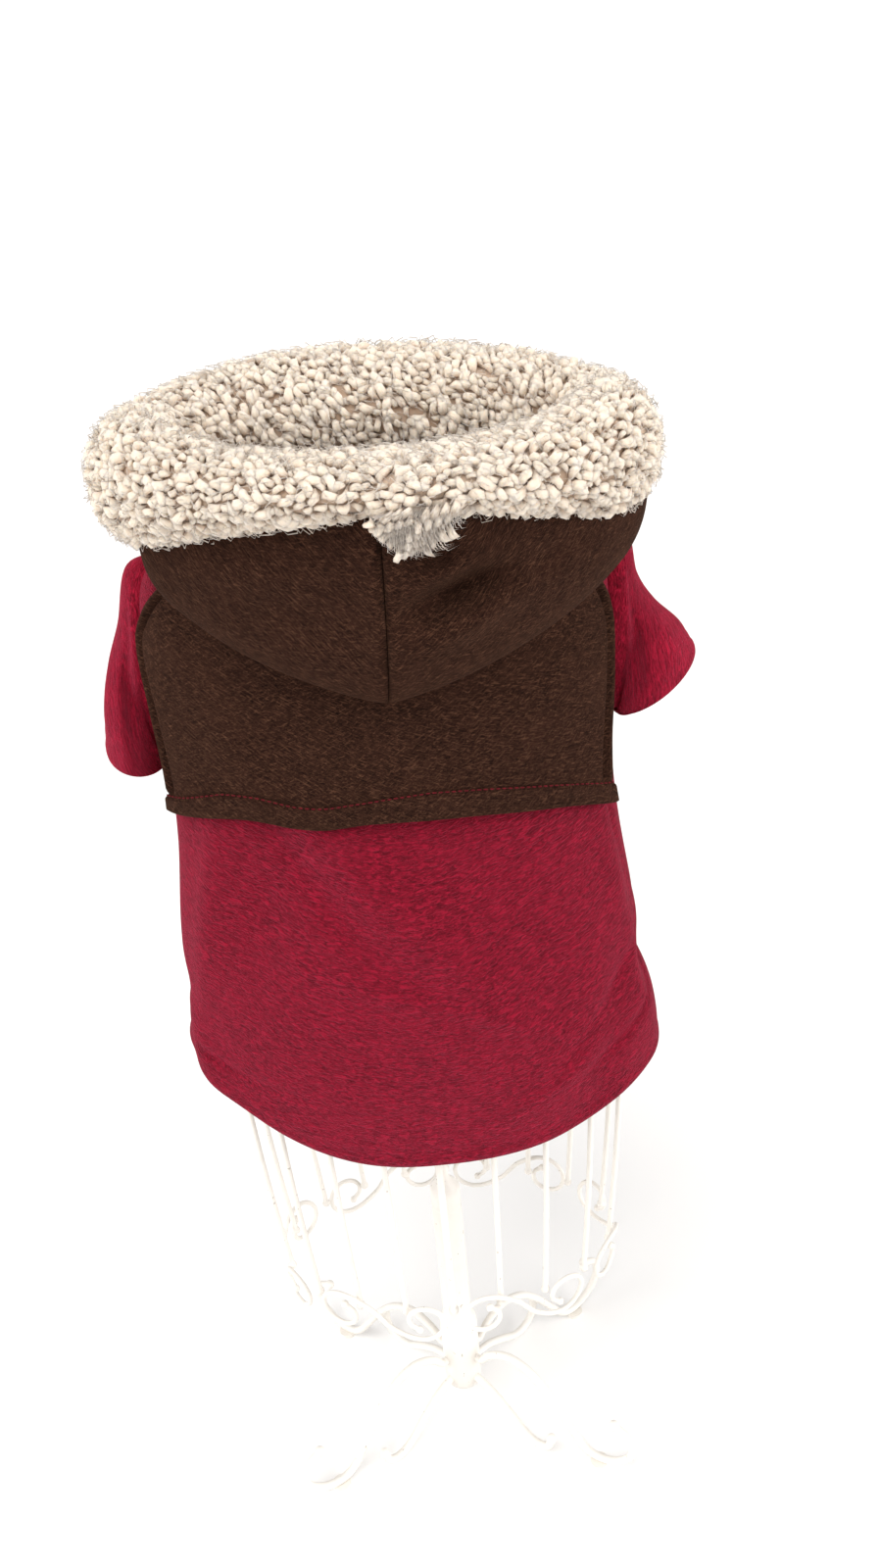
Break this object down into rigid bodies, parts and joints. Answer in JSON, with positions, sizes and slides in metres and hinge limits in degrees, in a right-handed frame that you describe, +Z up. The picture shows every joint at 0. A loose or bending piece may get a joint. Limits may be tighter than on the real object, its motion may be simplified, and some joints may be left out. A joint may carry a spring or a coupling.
{
  "type": "hooded fleece pet sweatshirt on a wire dress form",
  "caption": "A small dog's hooded fleece top with a dark felt yoke and a cream curly pile roll round the hood, worn by a white scrolled wire form that stands on its own feet.",
  "frame": {"origin": "on the floor, under the middle of the whole part's box", "axes": "+Z is up, -Y faces the garment's back (the side in the picture), +X is the right hand side as the back is seen"},
  "size_m": [0.3128, 0.1881, 0.6971],
  "materials": {
    "crimson_fleece": "matt brushed polar fleece",
    "brown_felt": "matt felted fleece",
    "cream_pile": "curly sherpa pile",
    "white_wire": "white painted wire, satin"
  },
  "bodies": {
    "root": {"back_panel": "crimson_fleece", "bodice_rib_1": "white_wire", "bodice_rib_2": "white_wire", "bodice_rib_3": "white_wire", "bodice_rib_4": "white_wire", "bodice_rib_5": "white_wire", "bodice_rib_6": "white_wire", "bodice_rib_7": "white_wire", "bodice_rib_8": "white_wire", "foot_pad_1": "white_wire", "foot_pad_2": "white_wire", "foot_pad_3": "white_wire", "foot_pad_4": "white_wire", "form_pole": "white_wire", "front_panel": "crimson_fleece", "fur_left": "cream_pile", "fur_right": "cream_pile", "hood_left": "brown_felt", "hood_right": "brown_felt", "hoop_hip": "white_wire", "leg_arch_1": "white_wire", "leg_arch_2": "white_wire", "leg_arch_3": "white_wire", "leg_arch_4": "white_wire", "leg_brace_1": "white_wire", "leg_brace_2": "white_wire", "leg_brace_3": "white_wire", "leg_brace_4": "white_wire", "scroll_1": "white_wire", "scroll_2": "white_wire", "scroll_3": "white_wire", "scroll_4": "white_wire", "scroll_5": "white_wire", "scroll_6": "white_wire", "skirt_rib_1": "white_wire", "skirt_rib_10": "white_wire", "skirt_rib_11": "white_wire", "skirt_rib_12": "white_wire", "skirt_rib_13": "white_wire", "skirt_rib_14": "white_wire", "skirt_rib_15": "white_wire", "skirt_rib_16": "white_wire", "skirt_rib_17": "white_wire", "skirt_rib_18": "white_wire", "skirt_rib_2": "white_wire", "skirt_rib_3": "white_wire", "skirt_rib_4": "white_wire", "skirt_rib_5": "white_wire", "skirt_rib_6": "white_wire", "skirt_rib_7": "white_wire", "skirt_rib_8": "white_wire", "skirt_rib_9": "white_wire", "sleeve_left": "crimson_fleece", "sleeve_right": "crimson_fleece", "yoke": "brown_felt"}
  },
  "joints": []
}
